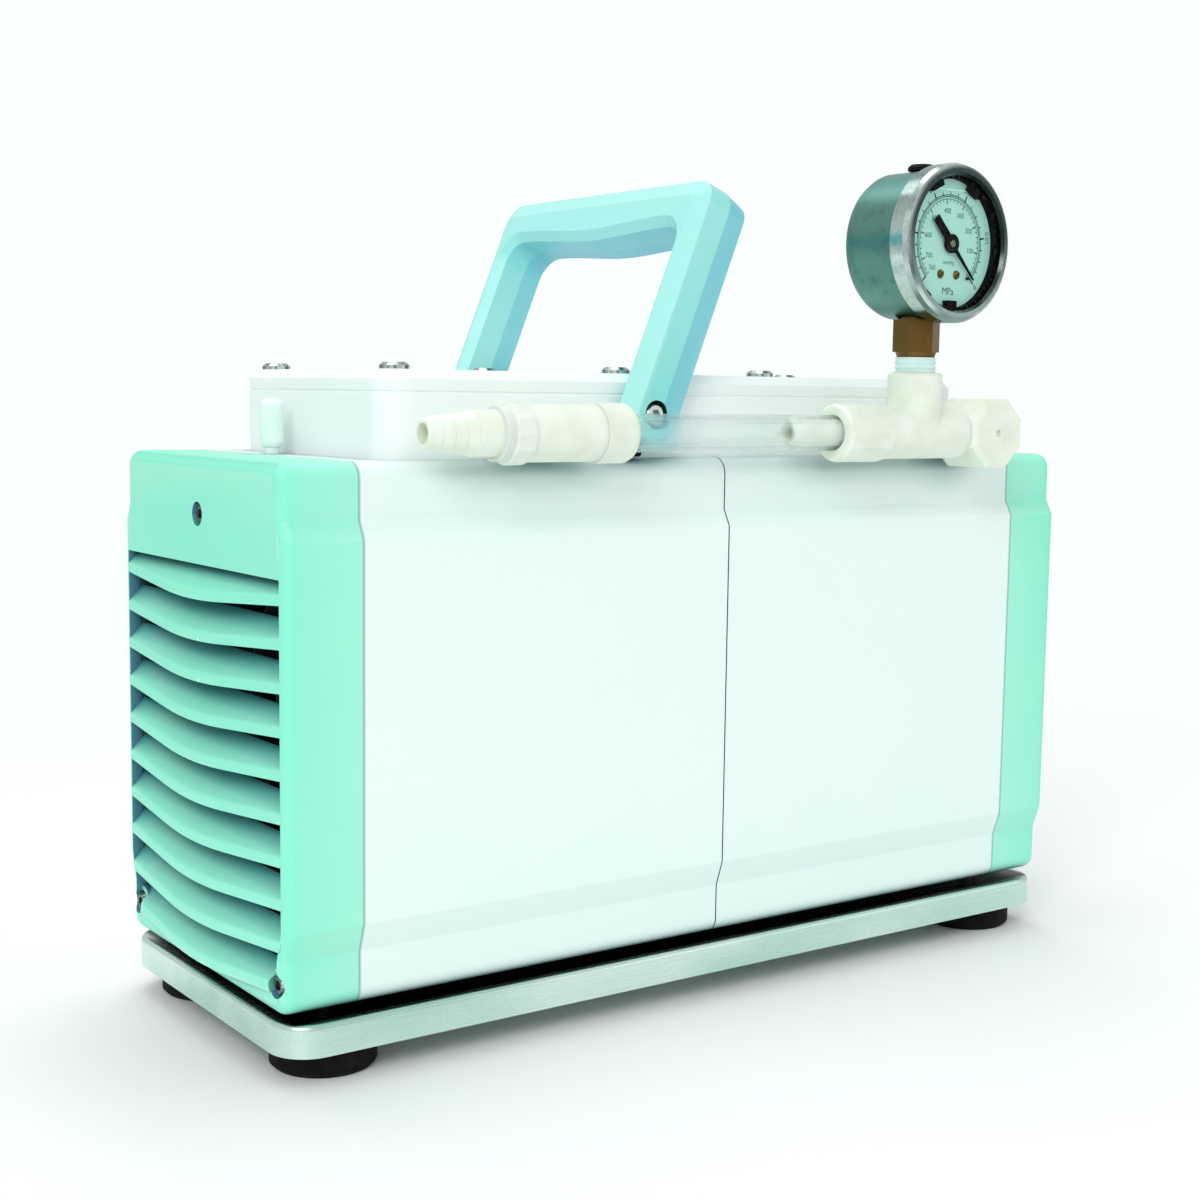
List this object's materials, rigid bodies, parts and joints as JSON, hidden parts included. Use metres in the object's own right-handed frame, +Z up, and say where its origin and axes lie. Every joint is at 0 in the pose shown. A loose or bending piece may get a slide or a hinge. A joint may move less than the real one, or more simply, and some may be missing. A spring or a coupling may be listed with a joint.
{
  "type": "diaphragm vacuum pump",
  "caption": "Twin-head diaphragm vacuum pump in a louvred casing, with folding carry handle, hose-barb inlet line, vacuum gauge and mains inlet",
  "frame": {"origin": "middle of the overall box, on the surface the feet stand on", "axes": "+X along the casing and the motor shaft towards the gauge end, +Y towards the back with the mains inlet, +Z up"},
  "size_m": [0.3404, 0.1632, 0.2927],
  "materials": {
    "stainless": "polished, brushed along its length",
    "feet_rubber": "matte black",
    "black_rubber": "matte black",
    "white_paint": "satin white powder coat",
    "white_plastic": "satin white moulding",
    "mint_plastic": "fine satin texture",
    "aqua_plastic": "fine satin texture",
    "natural_pp": "milky, slightly translucent moulding",
    "clear_pvc": "clear flexible tube",
    "silencer": "milky translucent",
    "zinc_steel": "bright zinc plated",
    "bare_steel": "ground",
    "cast_aluminium": "as cast",
    "laminations": "laminated, varnished",
    "copper": "enamelled copper",
    "diaphragm": "PTFE-faced rubber",
    "fan_plastic": "black moulding",
    "brass": "machined, dulled",
    "gauge_steel": "brushed round",
    "bezel_steel": "polished stainless",
    "gauge_glass": "clear",
    "dial": "matte white with black scale",
    "black_plastic": "black moulding"
  },
  "bodies": {
    "root": {"base_plate": "stainless", "rubber_feet": "feet_rubber", "foot_screws": "zinc_steel", "left_shell": "white_paint", "right_shell": "white_paint", "left_end_cap": "mint_plastic", "right_end_cap": "mint_plastic", "cap_screws": "zinc_steel", "crankcase_left": "cast_aluminium", "crankcase_right": "cast_aluminium", "crankcase_bolts": "zinc_steel", "motor_frame": "cast_aluminium", "stator_core": "laminations", "stator_windings": "copper", "shaft_bearings": "bare_steel", "diaphragm_left": "diaphragm", "diaphragm_right": "diaphragm", "run_capacitor": "white_plastic", "valve_discs": "black_rubber", "head_block": "white_plastic", "head_cover": "white_plastic", "cover_screws": "zinc_steel", "exhaust_silencer": "silencer", "handle_pivot_screws": "zinc_steel", "handle_washers": "white_plastic", "handle_stops": "black_rubber", "inlet_nozzle": "natural_pp", "nozzle_nut": "natural_pp", "inlet_tee": "natural_pp", "tube_nut_left": "natural_pp", "clear_tube": "clear_pvc", "tube_nut_right": "natural_pp", "gauge_tee": "natural_pp", "port_elbow": "natural_pp", "gauge_stem": "brass", "gauge_case": "gauge_steel", "gauge_bezel": "bezel_steel", "gauge_glass": "gauge_glass", "gauge_gasket": "black_rubber", "gauge_dial": "dial", "gauge_movement": "brass", "gauge_vent_plug": "black_rubber", "power_inlet": "black_plastic", "inlet_pins": "zinc_steel", "switch_frame": "black_plastic"},
    "handle": {"handle": "aqua_plastic"},
    "rotor": {"motor_shaft": "bare_steel", "rotor_core": "laminations", "rod_bearings": "bare_steel", "eccentric_left": "bare_steel", "eccentric_right": "bare_steel", "fan_left": "fan_plastic", "fan_right": "fan_plastic"},
    "rod_left": {"conrod_left": "cast_aluminium", "clamp_disc_left": "bare_steel"},
    "rod_right": {"conrod_right": "cast_aluminium", "clamp_disc_right": "bare_steel"},
    "pointer": {"gauge_pointer": "black_plastic"},
    "rocker": {"switch_rocker": "black_plastic"}
  },
  "joints": [
    {"name": "handle_fold", "type": "hinge", "parent": "root", "child": "handle", "pos_m": [-0.0322, 0.01327, 0.2041], "axis": [0, 1, 0], "range_deg": [-90, 0]},
    {"name": "motor_spin", "type": "hinge", "parent": "root", "child": "rotor", "pos_m": [0, 0.01327, 0.1045], "axis": [1, 0, 0], "continuous": true, "deforming": ["diaphragm_left", "diaphragm_right"]},
    {"name": "rod_turn_left", "type": "hinge", "parent": "rotor", "child": "rod_left", "pos_m": [-0.0765, 0.01327, 0.107], "axis": [1, 0, 0], "continuous": true},
    {"name": "rod_turn_right", "type": "hinge", "parent": "rotor", "child": "rod_right", "pos_m": [0.0725, 0.01327, 0.102], "axis": [1, 0, 0], "continuous": true},
    {"name": "pointer_turn", "type": "hinge", "parent": "root", "child": "pointer", "pos_m": [0.0752, -0.06113, 0.2645], "axis": [0.061, -0.9981, 0], "range_deg": [0, 270], "stiffness_Nm_per_rad": 0.0001, "springref_deg": -11.46},
    {"name": "switch_rock", "type": "hinge", "parent": "root", "child": "rocker", "pos_m": [0.084, 0.07427, 0.066], "axis": [1, 0, 0], "range_deg": [0, 18]}
  ],
  "couplings": [
    {"joint": "rod_turn_left", "follows": "motor_spin", "ratio": -1},
    {"joint": "rod_turn_right", "follows": "motor_spin", "ratio": -1}
  ]
}
